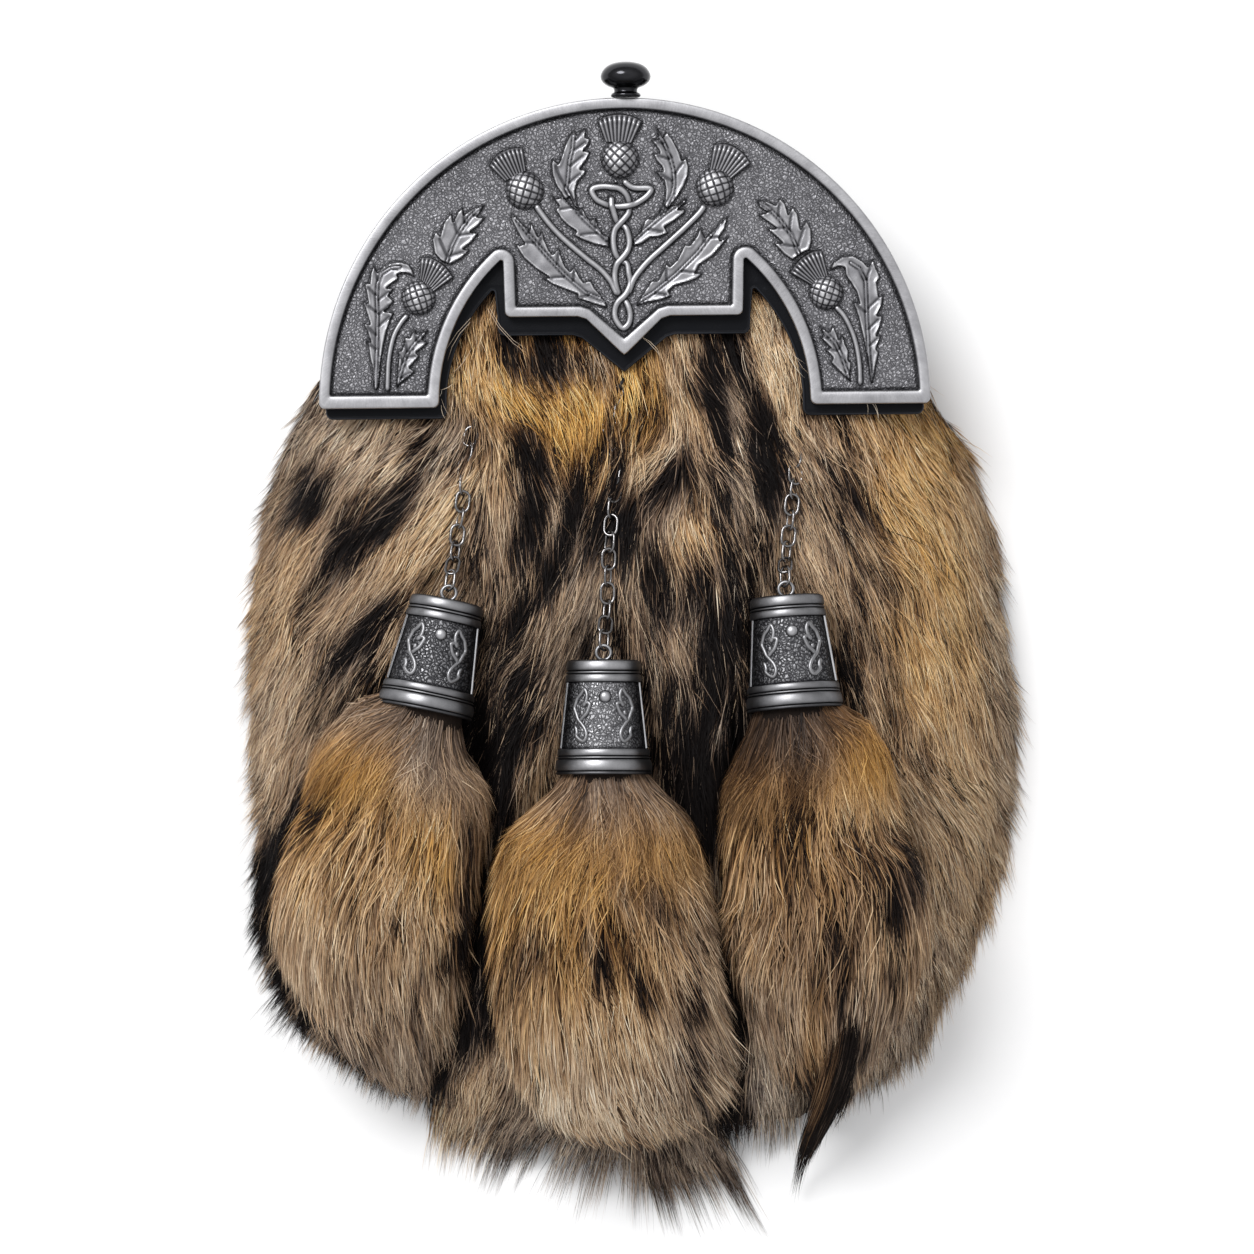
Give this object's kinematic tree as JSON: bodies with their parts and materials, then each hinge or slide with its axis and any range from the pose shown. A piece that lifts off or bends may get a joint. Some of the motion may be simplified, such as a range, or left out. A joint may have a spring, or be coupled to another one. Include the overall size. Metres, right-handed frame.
{
  "type": "sporran pouch",
  "caption": "Dress sporran: leather pouch under deep mottled fur, half-round metal cantle with thistles, and three fur tassels in metal bells on chains.",
  "frame": {"origin": "on the flat leather back, on the centre line of the cantle, half way down the sporran as it lies", "axes": "+Z out of the front, away from the back it lies on; +Y towards the top, where the cantle and knob are; +X to the right as seen from the front"},
  "size_m": [0.2006, 0.2819, 0.0635],
  "materials": {
    "pewter": "antiqued cast metal: dark pebbled field, brushed bright rim and high points",
    "gunmetal": "dark plated metal with polished raised bands",
    "leather": "smooth black leather, satin",
    "fur": "long glossy fur, mottled golden tan, beige, brown and black"
  },
  "bodies": {
    "root": {"bell_centre": "gunmetal", "bell_left": "gunmetal", "bell_right": "gunmetal", "cantle": "pewter", "cantle_knob": "gunmetal", "chain_post_centre": "gunmetal", "chain_post_left": "gunmetal", "chain_post_right": "gunmetal", "flap": "leather", "fur_front": "fur", "hinge_strap": "leather", "link_centre_01": "gunmetal", "link_centre_02": "gunmetal", "link_centre_03": "gunmetal", "link_centre_04": "gunmetal", "link_centre_05": "gunmetal", "link_centre_06": "gunmetal", "link_centre_07": "gunmetal", "link_centre_08": "gunmetal", "link_centre_09": "gunmetal", "link_centre_10": "gunmetal", "link_centre_11": "gunmetal", "link_centre_12": "gunmetal", "link_centre_13": "gunmetal", "link_centre_14": "gunmetal", "link_centre_15": "gunmetal", "link_centre_16": "gunmetal", "link_left_01": "gunmetal", "link_left_02": "gunmetal", "link_left_03": "gunmetal", "link_left_04": "gunmetal", "link_left_05": "gunmetal", "link_left_06": "gunmetal", "link_left_07": "gunmetal", "link_left_08": "gunmetal", "link_left_09": "gunmetal", "link_left_10": "gunmetal", "link_right_01": "gunmetal", "link_right_02": "gunmetal", "link_right_03": "gunmetal", "link_right_04": "gunmetal", "link_right_05": "gunmetal", "link_right_06": "gunmetal", "link_right_07": "gunmetal", "link_right_08": "gunmetal", "link_right_09": "gunmetal", "link_right_10": "gunmetal", "pouch": "leather", "tassel_centre": "fur", "tassel_left": "fur", "tassel_right": "fur"}
  },
  "joints": []
}
